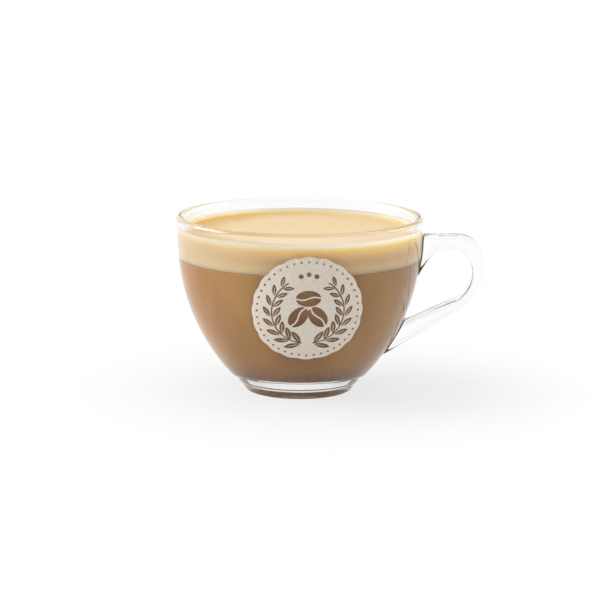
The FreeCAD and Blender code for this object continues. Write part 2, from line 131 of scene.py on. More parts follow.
@dataclass(frozen=True)
class Outline:
    """Runs that follow each other, read by the distance along them."""

    runs: tuple[Run, ...]

    @property
    def ends(self) -> Array:
        """Distance from the start to the end of each run."""
        return np.cumsum([run.length for run in self.runs])

    def at(self, distance: Array) -> Array:
        """Points at distances from the start; past either end the first or last run goes on."""
        which = np.clip(np.searchsorted(self.ends, distance), 0, len(self.runs) - 1)
        shares = [1 + (distance - end) / run.length for run, end in zip(self.runs, self.ends)]
        return np.choose(which, [run.at(share) for run, share in zip(self.runs, shares)])

    def normal(self, distance: Array, step: float = 1e-6) -> Array:
        """Unit normals to the left of the way along, from the points a step either way."""
        along = self.at(distance + step) - self.at(distance - step)
        return 1j * along / np.abs(along)


def joined(runs: tuple[Run, ...], steps: tuple[int, ...]) -> Array:
    """Points of runs that follow each other, with each joint once."""
    pieces = [run.piece(count)[1:] for run, count in zip(runs, steps)]
    return np.concatenate([[runs[0].start], *pieces])


def corner(before: complex, joint: complex, after: complex, count: int) -> Array:
    """Points that round a corner: the parabola from before to after pulled towards the joint."""
    share = np.linspace(0.0, 1.0, count + 1)[1:-1]
    return (1 - share) ** 2 * before + 2 * share * (1 - share) * joint + share**2 * after


def touch(centre: complex, radius: float, anchor: complex, side: int) -> complex:
    """Where a line from an anchor touches a circle on one side, 1 or -1."""
    span = centre - anchor
    heading = cmath.phase(span) + side * math.asin(radius / abs(span))
    return anchor + cmath.rect(math.sqrt(abs(span) ** 2 - radius**2), heading)


# ---------------------------------------------------------------- meshes


def make_piece(
    name: str, points: Array, quads: Array, triangles: Array, flat: int = 0
) -> Object:
    """Put whole arrays into a smooth mesh object at the origin.

    Args:
        name: Name of the piece.
        points: Vertices, one row each.
        quads: Corner numbers of the four-sided faces.
        triangles: Corner numbers of the three-sided faces.
        flat: How many of the first faces are flat.

    Returns:
        The object, linked to the scene and riding on the cup's body.
    """
    mesh = bpy.data.meshes.new(name)
    loops = np.concatenate([quads.ravel(), triangles.ravel()]).astype(np.int32)
    totals = np.concatenate([np.full(len(quads), 4), np.full(len(triangles), 3)]).astype(np.int32)
    starts = np.concatenate([[0], np.cumsum(totals)[:-1]]).astype(np.int32)
    mesh.vertices.add(len(points))
    mesh.vertices.foreach_set("co", points.astype(np.float32).ravel())
    mesh.loops.add(len(loops))
    mesh.loops.foreach_set("vertex_index", loops)
    mesh.polygons.add(len(totals))
    mesh.polygons.foreach_set("loop_start", starts)
    mesh.polygons.foreach_set("use_smooth", np.arange(len(totals)) >= flat)
    mesh.update(calc_edges=True)
    mesh.validate()
    piece = bpy.data.objects.new(name, mesh)
    bpy.context.scene.collection.objects.link(piece)
    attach(piece, BODY)
    return piece


@dataclass
class Shell:
    """A closed surface turned about the bowl's axis from a profile that starts and ends on the axis."""

    axis_x: float
    columns: int
    profile: Array

    @property
    def angles(self) -> Array:
        """Angle of each column, from just past -pi to pi, so that the handle's side is in the middle."""
        return (np.arange(self.columns) - self.columns // 2) * (2 * math.pi / self.columns)

    def points(self) -> Array:
        """Rings of the profile's inner points, then its two poles: (r cos a, r sin a, z)."""
        rings = self.profile[1:-1, None]
        around = rings.real * np.exp(1j * self.angles)
        grid = np.stack([self.axis_x + around.real, around.imag, rings.imag + 0 * around.real], 2)
        poles = [[self.axis_x, 0.0, height] for height in self.profile[[0, -1]].imag]
        return np.concatenate([grid.reshape(-1, 3), poles])

    def quads(self) -> Array:
        """Corner numbers of the rings' faces, row by row, turned outwards."""
        rows = len(self.profile) - 3
        first = np.arange(rows)[:, None] * self.columns
        column = np.arange(self.columns)[None, :]
        after = (column + 1) % self.columns
        return np.stack(
            [first + column, first + after, first + self.columns + after, first + self.columns + column], 2
        )

    def caps(self) -> Array:
        """Triangles that close the two poles."""
        column = np.arange(self.columns)
        after = (column + 1) % self.columns
        last = (len(self.profile) - 3) * self.columns
        start_pole = (len(self.profile) - 2) * self.columns
        low = np.stack([np.full(self.columns, start_pole), after, column], 1)
        high = np.stack([np.full(self.columns, start_pole + 1), last + column, last + after], 1)
        return np.concatenate([low, high])

    def build(self, name: str) -> Object:
        """Make the shell a piece."""
        return make_piece(name, self.points(), self.quads().reshape(-1, 4), self.caps())


# ---------------------------------------------------------------- glass


@dataclass(frozen=True)
class Bowl:
    """Sizes of the glass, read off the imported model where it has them."""

    axis_x: float
    rim_radius: float
    rim_height: float
    handle_reach: float
    floor_height: float
    rim_overhang: float = 0.0006
    flare: float = 2.5
    wall: float = 0.0029
    neck_radius: float = 0.008
    shoulder_drop: float = 0.0133
    floor_corner: float = 0.007
    foot_radius: float = 0.0248
    foot_height: float = 0.0046
    foot_lip: float = 0.0004
    foot_band: float = 0.0236
    foot_band_height: float = 0.0034
    contact: float = 0.0215
    recess: float = 0.0185
    recess_depth: float = 0.0052
    recess_power: float = 7.0
    heel_overhang: float = 0.00482
    heel_rise: float = 0.0044
    edge_reach: float = 0.0006

    @classmethod
    def from_frame(cls) -> "Bowl":
        """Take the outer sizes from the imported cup's box and the floor's height from the drink's.

        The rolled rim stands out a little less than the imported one, with a softer neck under it.
        """
        low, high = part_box("glass_cup")
        drink_low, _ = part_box("coffee_drink")
        radius = (high.y - low.y) / 2
        axis_x = low.x + radius
        return cls(axis_x, radius - RIM_TRIM, high.z, high.x - axis_x, drink_low.z)

    @property
    def lean(self) -> float:
        """Angle by which the wall leans out above the shoulder."""
        return math.radians(self.flare)

    @property
    def outwards(self) -> complex:
        """Way out of the leaning wall."""
        return cmath.rect(1.0, -self.lean)

    @property
    def radius(self) -> float:
        """Outer radius at the shoulder."""
        return self.rim_radius - self.rim_overhang

    def shoulder(self, inset: float = 0.0) -> complex:
        """Where the long curve passes into the leaning wall, on a surface inset from the outer one."""
        return complex(self.radius, self.rim_height - self.shoulder_drop) - inset * self.outwards

    @property
    def bead(self) -> float:
        """Radius of the rolled rim, which touches the inner wall and the rim's radius and height."""
        gap = complex(self.rim_radius, self.rim_height) - self.shoulder(self.wall)
        cos, sin = math.cos(self.lean), math.sin(self.lean)
        return (gap.real * cos - gap.imag * sin) / (1 + cos - sin)

    @property
    def bead_centre(self) -> complex:
        """Centre of the rolled rim's section."""
        return complex(self.rim_radius - self.bead, self.rim_height - self.bead)

    @property
    def neck_centre(self) -> complex:
        """Centre of the hollow round that touches the leaning wall and the rolled rim."""
        base = self.shoulder(-self.neck_radius)
        gap = (self.bead_centre - base) * self.outwards.conjugate()
        climb = gap.imag - math.sqrt((self.neck_radius + self.bead) ** 2 - gap.real**2)
        return base + 1j * climb * self.outwards

    @property
    def heel(self) -> complex:
        """Where the wall's long curve starts."""
        return complex(self.foot_radius + self.heel_overhang, self.foot_height + self.heel_rise)

    @property
    def curve(self) -> float:
        """Radius of the wall's long curve, which runs on into the leaning wall and passes the heel."""
        chord = self.shoulder() - self.heel
        return abs(chord) ** 2 / (2 * (chord * self.outwards.conjugate()).real)

    @property
    def curve_centre(self) -> complex:
        """Centre of the wall's long curve."""
        return self.shoulder(self.curve)

    def wall_radius(self, height: Array, inset: float = 0.0) -> Array:
        """Radius of the wall at a height, on a surface inset from the outer one.

        Below the shoulder it is centre + sqrt((curve - inset)^2 - drop^2), above it
        shoulder + rise * tan lean.

        Args:
            height: Heights.
            inset: How far the surface lies in from the outer wall.

        Returns:
            The radius at each height.
        """
        centre, edge = self.curve_centre, self.shoulder(inset)
        drop = centre.imag - np.minimum(height, edge.imag)
        curved = centre.real + np.sqrt((self.curve - inset) ** 2 - drop**2)
        leaning = edge.real + (height - edge.imag) * math.tan(self.lean)
        return np.where(height > edge.imag, leaning, curved)

    def wall_point(self, height: float, inset: float = 0.0) -> complex:
        """Point of the half section on the wall at a height."""
        return complex(float(self.wall_radius(height, inset)), height)

    def climb(self, height: Array) -> Array:
        """Length along the outer wall: curve * angle turned on the long curve, rise / cos lean above it.

        Args:
            height: Heights.

        Returns:
            The length from the shoulder to each height, less than 0 below the shoulder.
        """
        up = self.shoulder().imag
        drop = self.curve_centre.imag - np.minimum(height, up)
        turned = self.lean - np.arcsin(drop / self.curve)
        return np.where(height < up, self.curve * turned, (height - up) / math.cos(self.lean))

    def climb_height(self, climb: Array) -> Array:
        """Height at a length along the outer wall from the shoulder."""
        turned = self.lean - np.minimum(climb, 0.0) / self.curve
        curved = self.curve_centre.imag - self.curve * np.sin(turned)
        return np.where(climb < 0, curved, self.shoulder().imag + climb * math.cos(self.lean))

    def on_wall(self, angle: Array, climb: Array, lift: float = 0.0) -> Array:
        """Points of the outer wall: (r cos a, r sin a, z), lifted off it along its normal.

        Args:
            angle: Angles about the axis.
            climb: Lengths along the wall from the shoulder.
            lift: How far the points stand off it.

        Returns:
            The points, their coordinates last.
        """
        height = self.climb_height(climb)
        dip = self.lean - np.minimum(climb, 0.0) / self.curve
        around = (self.wall_radius(height) + lift * np.cos(dip)) * np.exp(1j * angle)
        return np.stack([self.axis_x + around.real, around.imag, height - lift * np.sin(dip)], -1)

    def cavity_corner(self, inset: float) -> Run:
        """The round from the floor to the wall inside, on a surface inset from the outer wall."""
        grow = self.wall - inset
        round_radius = self.floor_corner + grow
        inner = self.curve - inset - round_radius
        height, middle = self.floor_height + self.floor_corner, self.curve_centre
        centre = complex(middle.real + math.sqrt(inner**2 - (middle.imag - height) ** 2), height)
        wall_end = centre + round_radius / inner * (centre - middle)
        return Run.arc(centre, centre - 1j * round_radius, wall_end)


class Arm(Enum):
    """The strap's two arms, named by where they leave the wall."""

    UPPER = "upper"
    LOWER = "lower"


@dataclass(frozen=True)
class Root:
    """Where one arm of the strap grows out of the wall: a window in the wall's grid."""

    arm: Arm
    low: float
    high: float
    half_columns: int = 11
    rows: int = 24


@dataclass
class Strap:
    """Sizes of the strap handle and its finger hole, about the bowl's axis."""

    bowl: Bowl
    drop: float = 0.0077
    width: float = 0.0096
    thickness: float = 0.0044
    arm: float = 0.0054
    shoulder: float = 0.010
    outer_bend: float = 0.0168
    arch: float = 0.0098
    inner_bend: float = 0.0125
    upper_span: float = 0.0166
    lower_height: float = 0.0144
    lower_span: float = 0.0130
    edge: float = 0.0016
    fillet: float = 0.0016
    edge_steps: int = 4
    face_steps: int = 14
    side_steps: int = 16
    root_steps: int = 10
    arch_turns: Point = (70.0, 16.0)
    upper_start: float = 0.35

    def outlines(self) -> tuple[Outline, Outline, list[Point]]:
        """The strap's outer side and the finger hole's side, each from the upper root to the lower.

        Returns:
            Both outlines, and the pairs of distances along them that lie across from each other.
        """
        reach, top = self.bowl.handle_reach, self.bowl.rim_height - self.drop
        hole, bend = reach - self.thickness, top - self.arm - self.arch
        heights = (top, self.lower_height, self.lower_height + self.lower_span, top - self.upper_span)
        top_root, low_root, low_hole, top_hole = (self.bowl.wall_point(height) for height in heights)
        shoulder = complex(reach - self.shoulder, top - self.shoulder)
        shoulder_start, shoulder_end = shoulder + 1j * self.shoulder, shoulder + self.shoulder
        side, hole_end = complex(reach, bend), complex(hole, bend)
        outer, inner, arch = side - self.outer_bend, hole_end - self.inner_bend, hole_end - self.arch
        outer_touch = touch(outer, self.outer_bend, low_root, -1)
        inner_touch = touch(inner, self.inner_bend, low_hole, -1)
        arch_touch = touch(arch, self.arch, top_hole, 1)
        outside = Outline((
            Run(top_root, shoulder_start), Run.arc(shoulder, shoulder_start, shoulder_end),
            Run(shoulder_end, side), Run.arc(outer, side, outer_touch), Run(outer_touch, low_root),
        ))
        hole_side = Outline((
            Run(top_hole, arch_touch), Run.arc(arch, arch_touch, hole_end),
            Run.arc(inner, hole_end, inner_touch), Run(inner_touch, low_hole),
        ))
        far, near = outside.ends, hole_side.ends
        arch_top, arch_side = (near[1] - math.radians(turn) * self.arch for turn in self.arch_turns)
        pairs = [(self.upper_start * far[0], near[0]), (far[0], arch_top), (far[1], arch_side)]
        return outside, hole_side, pairs + list(zip(far[2:4], near[1:3]))

    def section(self) -> tuple[Array, ...]:
        """Weights that place the loop of one section between the two sides.

        The loop runs across the outer face, down the +Y side, back across the hole's face and up the
        -Y side, with a quarter round at each corner.

        Returns:
            Weight of the outer point, weight of its normal, weight of the hole's normal, and Y.
        """
        half, edge = self.width / 2, self.edge
        quarter = np.linspace(0.0, math.pi / 2, 2 * self.edge_steps + 1)
        across = np.linspace(-(half - edge), half - edge, self.face_steps + 1)[:-1]
        down = np.linspace(1.0, 0.0, self.side_steps + 1)[:-1]
        flat, round_part, side = np.ones(self.face_steps), np.ones(2 * self.edge_steps), np.ones(len(down))
        bend_out, bend_across = edge * (np.cos(quarter[:-1]) - 1), edge * np.sin(quarter[:-1])
        bend_back, bend_in = edge * (np.sin(quarter[:-1]) - 1), edge * np.cos(quarter[:-1])
        outer = np.concatenate([flat, round_part, down, 0 * round_part])
        outer_normal = np.concatenate([0 * flat, bend_out, -edge * down, 0 * round_part])
        hole_normal = np.concatenate([0 * flat, 0 * round_part, -edge * (1 - down), bend_back])
        y = np.concatenate([across, half - edge + bend_across, half * side, half - edge + bend_in])
        loops = (
            np.concatenate([outer, 1 - outer]),
            np.concatenate([outer_normal, hole_normal]),
            np.concatenate([hole_normal, outer_normal]),
            np.concatenate([y, -y]),
        )
        return tuple(np.roll(values, self.edge_steps) for values in loops)

    def rings(self, far: Array, near: Array) -> Array:
        """Loops of the strap at paired distances along its two sides.

        Each point is weight * outer + (1 - weight) * hole side + normals scaled to round the edges.

        Args:
            far: Distances along the outer side.
            near: Distances along the finger hole's side.

        Returns:
            The loops' points.
        """
        outside, hole_side, _ = self.outlines()
        outer, outer_normal, hole_normal, y = self.section()
        plane = outer * outside.at(far)[:, None] + (1 - outer) * hole_side.at(near)[:, None]
        plane += outer_normal * outside.normal(far)[:, None] - hole_normal * hole_side.normal(near)[:, None]
        return np.stack([plane.real + self.bowl.axis_x, y + 0 * plane.real, plane.imag], 2)

    def root(self, arm: Arm) -> tuple[Array, Array, Array]:
        """Where one arm meets the wall, and the hollow round between them.

        Each point of the section is carried along its straight run until its distance from the axis is the
        wall's radius. The round is a parabola from the wall to the strap, pulled towards that point; the
        length of its legs is fillet / tan(half the angle between wall and strap).

        Args:
            arm: Which arm of the strap.

        Returns:
            Angle and length along the wall of the round's outer edge, and rings from there to the strap.
        """
        outside, hole_side, pairs = self.outlines()
        upper = arm is Arm.UPPER
        far, near = pairs[0] if upper else pairs[-1]
        away = 1.0 if upper else -1.0
        start_far, start_near = (0.0, 0.0) if upper else (outside.ends[-1], hole_side.ends[-1])
        share = (near - start_near) / (far - start_far)

        def section_at(distance: float) -> Array:
            """Loop of the strap at a distance from its root."""
            way = away * distance
            return self.rings(np.array([start_far + way]), np.array([start_near + way * share]))[0]

        first = section_at(0.001)
        run = section_at(0.002) - first
        run /= np.linalg.norm(run, axis=1)[:, None]
        low, high = np.full(len(run), -0.02), np.full(len(run), 0.02)
        for _ in range(40):
            middle = (low + high) / 2
            point = first + middle[:, None] * run
            distance = np.hypot(point[:, 0] - self.bowl.axis_x, point[:, 1])
            outside_wall = distance > self.bowl.wall_radius(point[:, 2])
            high, low = np.where(outside_wall, middle, high), np.where(outside_wall, low, middle)
        meet = first + high[:, None] * run
        angle = np.arctan2(meet[:, 1], meet[:, 0] - self.bowl.axis_x)
        climb = self.bowl.climb(meet[:, 2])
        radius = self.bowl.wall_radius(meet[:, 2])
        loop = np.stack([radius * angle, climb], 1)
        along = np.roll(loop, -1, 0) - np.roll(loop, 1, 0)
        outwards = np.stack([-along[:, 1], along[:, 0]], 1) / np.linalg.norm(along, axis=1)[:, None]
        outwards *= np.sign(np.sum(outwards * (loop - loop.mean(0)), 1).mean())

        def wall_point(distance: Array) -> Array:
            """Points on the wall at distances out from the loop."""
            moved = loop + distance[:, None] * outwards
            return self.bowl.on_wall(moved[:, 0] / radius, moved[:, 1])

        wall_way = wall_point(np.full(len(run), 1e-4)) - meet
        wall_way /= np.linalg.norm(wall_way, axis=1)[:, None]
        opening = np.arccos(np.clip(np.sum(wall_way * run, 1), -1, 1))
        leg = np.clip(self.fillet / np.tan(opening / 2), self.fillet / 3, 2.6 * self.fillet)
        for _ in range(3):
            leg = (np.roll(leg, 1) + 2 * leg + np.roll(leg, -1)) / 4
        before, after = wall_point(leg), meet + leg[:, None] * run
        steps = np.linspace(0.0, 1.0, self.root_steps + 1)[:, None, None]
        rings = (1 - steps) ** 2 * before + 2 * steps * (1 - steps) * meet + steps**2 * after
        moved = loop + leg[:, None] * outwards
        return moved[:, 0] / radius, moved[:, 1], rings


@dataclass
class GlassCup:
    """Bowl, foot, rim and strap handle as one closed surface."""

    bowl: Bowl
    columns: int = 288
    upper: Root = Root(Arm.UPPER, 0.0415, 0.0666)
    lower: Root = Root(Arm.LOWER, 0.0120, 0.0325)
    hollow_steps: int = 40
    edge_steps: int = 6
    foot_steps: tuple[int, ...] = (3, 8, 3, 2, 10)
    foot_edges: tuple[float, ...] = (0.4, 1.0, 0.8, 0.4, 0.5, 0.0)
    wall_steps: tuple[int, int] = (5, 9)
    inner_steps: tuple[int, ...] = (8, 28, 6, 46, 12, 16)
    patch_rings: int = 5
    strap_steps: tuple[int, ...] = (16, 24, 7, 26)
    arm_steps: int = 25

    def foot(self) -> list[Array]:
        """Profile from the middle of the hollow under the foot, over its ring and lip, to the heel.

        The hollow is depth * (1 - (r / recess)^power): nearly flat in the middle and steep at its edge.
        """
        bowl = self.bowl
        lip_top = complex(bowl.foot_radius, bowl.foot_height)
        lip_foot = lip_top - 1j * bowl.foot_lip
        normal = (bowl.heel - bowl.curve_centre) / bowl.curve
        chord = lip_top - bowl.heel
        heel_centre = bowl.heel + abs(chord) ** 2 / (2 * (chord * normal.conjugate()).real) * normal
        share = np.linspace(0.0, 1.0, self.hollow_steps + 1)
        hollow = bowl.recess * share + 1j * bowl.recess_depth * (1 - share**bowl.recess_power)
        band = complex(bowl.foot_band, bowl.foot_band_height)
        runs = (
            Run(bowl.recess, bowl.contact), Run(bowl.contact, band), Run(band, lip_foot),
            Run(lip_foot, lip_top), Run.arc(heel_centre, lip_top, bowl.heel),
        )
        reaches = np.array(self.foot_edges) * bowl.edge_reach
        parts = [hollow[:-1]]
        for run, count, skip, leave in zip(runs, self.foot_steps, reaches, reaches[1:]):
            piece = run.piece(count, skip, leave)
            parts += [corner(parts[-1][-1], run.start, piece[0], self.edge_steps), piece]
        return parts

    def wall_climbs(self) -> tuple[Array, int, int]:
        """Lengths along the outer wall for each row from the heel to the neck.

        Returns:
            The lengths, and the rows where the lower and the upper window start.
        """
        marks = [self.bowl.heel.imag, self.lower.low, self.lower.high, self.upper.low, self.upper.high]
        climbs = self.bowl.climb(np.array(marks))
        counts = (self.wall_steps[0], self.lower.rows, self.wall_steps[1], self.upper.rows)
        rows = [np.linspace(a, b, n + 1)[1:] for a, b, n in zip(climbs, climbs[1:], counts)]
        return np.concatenate(rows), counts[0] - 1, counts[0] + self.lower.rows + counts[2] - 1

    def profile(self) -> tuple[Array, int, int]:
        """Whole half section: foot, wall, neck, rim, cavity wall, corner and floor.

        Returns:
            The profile, and the rows where the lower and the upper window start.
        """
        bowl = self.bowl
        foot = np.concatenate(self.foot())
        climbs, lower_row, upper_row = self.wall_climbs()
        height = bowl.climb_height(climbs)
        wall = bowl.wall_radius(height) + 1j * height
        dip, top = cmath.phase(bowl.neck_centre - bowl.bead_centre), math.pi - bowl.lean
        neck = Run.swept(bowl.neck_centre, bowl.neck_radius, top, math.pi + dip)
        rim = Run.swept(bowl.bead_centre, bowl.bead, dip, top)
        turn, shoulder = bowl.cavity_corner(bowl.wall), bowl.shoulder(bowl.wall)
        inside = (
            neck, rim, Run(rim.end, shoulder), Run.arc(bowl.curve_centre, shoulder, turn.end),
            Run.arc(turn.centre, turn.end, turn.start), Run(turn.start, 1j * bowl.floor_height),
        )
        profile = np.concatenate([foot, wall, joined(inside, self.inner_steps)])
        return profile, len(foot) + lower_row, len(foot) + upper_row

    def window(self, root: Root, row: int) -> Array:
        """Vertex numbers round a window of the grid, in the order of the strap's section.

        Args:
            root: The window's size and arm.
            row: The grid's row where it starts.

        Returns:
            The numbers, once round.
        """
        middle = self.columns // 2
        left, right = middle - root.half_columns, middle + root.half_columns
        low, high = row, row + root.rows
        outer, inner = (high, low) if root.arm is Arm.UPPER else (low, high)
        step = 1 if inner > outer else -1
        cells = (
            [(outer, j) for j in range(left, right)]
            + [(i, right) for i in range(outer, inner, step)]
            + [(inner, j) for j in range(right, left, -1)]
            + [(i, left) for i in range(inner, outer, -step)]
        )
        return np.array([(i - 1) * self.columns + j for i, j in cells])

    def patch(self, border: Array, angle: Array, climb: Array) -> Array:
        """Rings on the wall between a window's border and the outer edge of a root's round.

        Args:
            border: Points of the border.
            angle: Angles of the round's outer edge.
            climb: Its lengths along the wall.

        Returns:
            The rings' points, at even shares of the way.
        """
        border_angle = np.arctan2(border[:, 1], border[:, 0] - self.bowl.axis_x)
        border_climb = self.bowl.climb(border[:, 2])
        share = np.linspace(0.0, 1.0, self.patch_rings + 1)[1:-1, None]
        return self.bowl.on_wall(
            border_angle + share * (angle - border_angle), border_climb + share * (climb - border_climb)
        )

    def build(self) -> Object:
        """Join the bowl's grid, the two windows and the strap into one closed piece.

        The strap's loops run from the upper window's border over its root, the strap and the lower root
        to the lower window's border, and each is joined to the next by a band of faces.
        """
        strap = Strap(self.bowl)
        profile, lower_row, upper_row = self.profile()
        shell = Shell(self.bowl.axis_x, self.columns, profile)
        points, quads, caps = shell.points(), shell.quads(), shell.caps()
        middle = self.columns // 2
        keep = np.ones(quads.shape[:2], bool)
        borders: list[Array] = []
        loops: list[Array] = []
        for root, row in ((self.upper, upper_row), (self.lower, lower_row)):
            columns = slice(middle - root.half_columns, middle + root.half_columns)
            keep[row - 1:row - 1 + root.rows, columns] = False
            numbers = self.window(root, row)
            angle, climb, rounds = strap.root(root.arm)
            borders.append(numbers)
            loops.append(np.concatenate([self.patch(points[numbers], angle, climb), rounds]))
        pairs = np.array(strap.outlines()[2])
        spans = zip(pairs, pairs[1:], self.strap_steps)
        marks = np.concatenate([pairs[:1], *(np.linspace(a, b, n + 1)[1:] for a, b, n in spans)])
        body = strap.rings(*marks.T)
        share = np.linspace(0.0, 1.0, self.arm_steps + 1)[1:-1, None, None]
        upper_arm = loops[0][-1] + share[::5] * (body[0] - loops[0][-1])
        lower_arm = body[-1] + share * (loops[1][-1] - body[-1])
        tube = np.concatenate([loops[0], upper_arm, body, lower_arm, loops[1][::-1]])
        inner = len(points) + np.arange(tube.shape[0] * tube.shape[1]).reshape(tube.shape[:2])
        numbers = np.concatenate([borders[0][None, :], inner, borders[1][None, :]])
        after = np.roll(numbers, -1, 1)
        strap_quads = np.stack([numbers[:-1], numbers[1:], after[1:], after[:-1]], 2).reshape(-1, 4)
        all_points = np.concatenate([points, tube.reshape(-1, 3)])
        all_quads = np.concatenate([quads[keep], strap_quads])
        used = np.zeros(len(all_points), bool)
        used[np.concatenate([all_quads.ravel(), caps.ravel()])] = True
        renumber = np.cumsum(used) - 1
        return make_piece("glass", all_points[used], renumber[all_quads], renumber[caps])


# ---------------------------------------------------------------- print


@dataclass(frozen=True)
class Motifs:
    """A scalloped medallion with two leafy sprigs, three beans and dots left open in it.

    Lengths are millimetres on the wall. Every field of distance is below 0 inside its shape.
    """

    radius: float = 22.3
    scallops: int = 20
    scallop_depth: float = 0.45
    dots: int = 44
    dot_circle: float = 20.2
    dot: float = 0.48
    bud: float = 0.95
    buds: tuple[Point, ...] = ((-3.0, 14.6), (0.0, 15.4), (3.0, 14.6))
    bean_half: Point = (4.9, 3.3)
    beans: tuple[tuple[Point, float], ...] = (((-3.8, -2.2), 0.95), ((3.8, -2.2), 2.19), ((0.0, 5.6), 0.0))
    crease: Point = (0.6, 0.33)
    stem: float = 14.2
    stem_half: float = 0.28
    stem_middle: float = 1.36
    stem_reach: float = 17.2
    leaf_pairs: int = 8
    first_leaf: float = 0.37
    leaf_gap: float = 0.30
    leaf_half: float = 3.2
    leaf_less: float = 0.14
    leaf_lean: float = 0.62
    leaf_width: float = 0.36
    rib: float = 0.13

    @staticmethod
    def turned(x: Array, y: Array, place: Point, angle: float) -> tuple[Array, ...]:
        """Coordinates along and across a shape at a place, turned by an angle."""
        across, up = x - place[0], y - place[1]
        cos, sin = math.cos(angle), math.sin(angle)
        return across * cos + up * sin, up * cos - across * sin

    def leaf(self, x: Array, y: Array, place: Point, angle: float, half: float) -> Array:
        """Two arcs that meet in points, with an open rib: distance to the far arc's centre less its radius.

        Args:
            x, y: Where the field is wanted.
            place: The leaf's middle.
            angle: Its direction.
            half: Half its length.

        Returns:
            The field, below 0 on the leaf.
        """
        along, across = self.turned(x, y, place, angle)
        wide = self.leaf_width * half
        radius = (half**2 + wide**2) / (2 * wide)
        shape = np.hypot(along, np.abs(across) + radius - wide) - radius
        rib = np.maximum(np.abs(across) - self.rib, np.abs(along + 0.15 * half) - 0.6 * half)
        return np.maximum(shape, -rib)

    def bean(self, x: Array, y: Array, place: Point, angle: float) -> Array:
        """An ellipse, (along / length)^2 + (across / width)^2 = 1, with an open wavy crease."""
        along, across = self.turned(x, y, place, angle)
        length, width = self.bean_half
        shape = (np.hypot(along / length, across / width) - 1) * width
        wave, open_half = self.crease
        crease = np.abs(across - wave * np.sin(along * math.pi / length)) - open_half
        return np.maximum(shape, -crease)

    def sprig(self, x: Array, y: Array, side: int) -> Array:
        """A round stem up one side, with pairs of leaves that lean away from it.

        Args:
            x, y: Where the field is wanted.
            side: 1 or -1, the side that it stands on.

        Returns:
            The field, below 0 on the stem and the leaves.
        """
        radius = np.hypot(x, y)
        turn = np.arctan2(side * x, -y)
        around = np.abs(turn - self.stem_middle) * self.stem - self.stem_reach
        sprig = np.maximum(np.abs(radius - self.stem) - self.stem_half, around)
        for pair in range(self.leaf_pairs):
            lead = self.first_leaf + self.leaf_gap * pair
            half = self.leaf_half - self.leaf_less * pair
            for outwards in (1, -1):
                reach = self.stem + outwards * (0.9 + 0.42 * half)
                place = (side * reach * math.sin(lead), -reach * math.cos(lead))
                along = math.atan2(math.sin(lead), side * math.cos(lead))
                heading = along - self.leaf_lean * side * outwards
                sprig = np.minimum(sprig, self.leaf(x, y, place, heading, half))
        return sprig

    def distance(self, x: Array, y: Array) -> Array:
        """Field of the whole print: the medallion less everything left open in it.

        Args:
            x, y: Where the field is wanted.

        Returns:
            The larger of the medallion's field and the open shapes' turned round.
        """
        turn, radius = np.arctan2(y, x), np.hypot(x, y)
        edge = self.radius + self.scallop_depth * (np.abs(np.cos(turn * self.scallops / 2)) - 1)
        medallion = radius - edge
        step = 2 * math.pi / self.dots
        nearest = np.round(turn / step) * step
        ring = self.dot_circle
        dots = np.hypot(x - ring * np.cos(nearest), y - ring * np.sin(nearest)) - self.dot
        opened = [dots, self.sprig(x, y, 1), self.sprig(x, y, -1)]
        opened += [self.bean(x, y, place, angle) for place, angle in self.beans]
        opened += [np.hypot(x - place[0], y - place[1]) - self.bud for place in self.buds]
        return np.maximum(medallion, -np.minimum.reduce(opened))


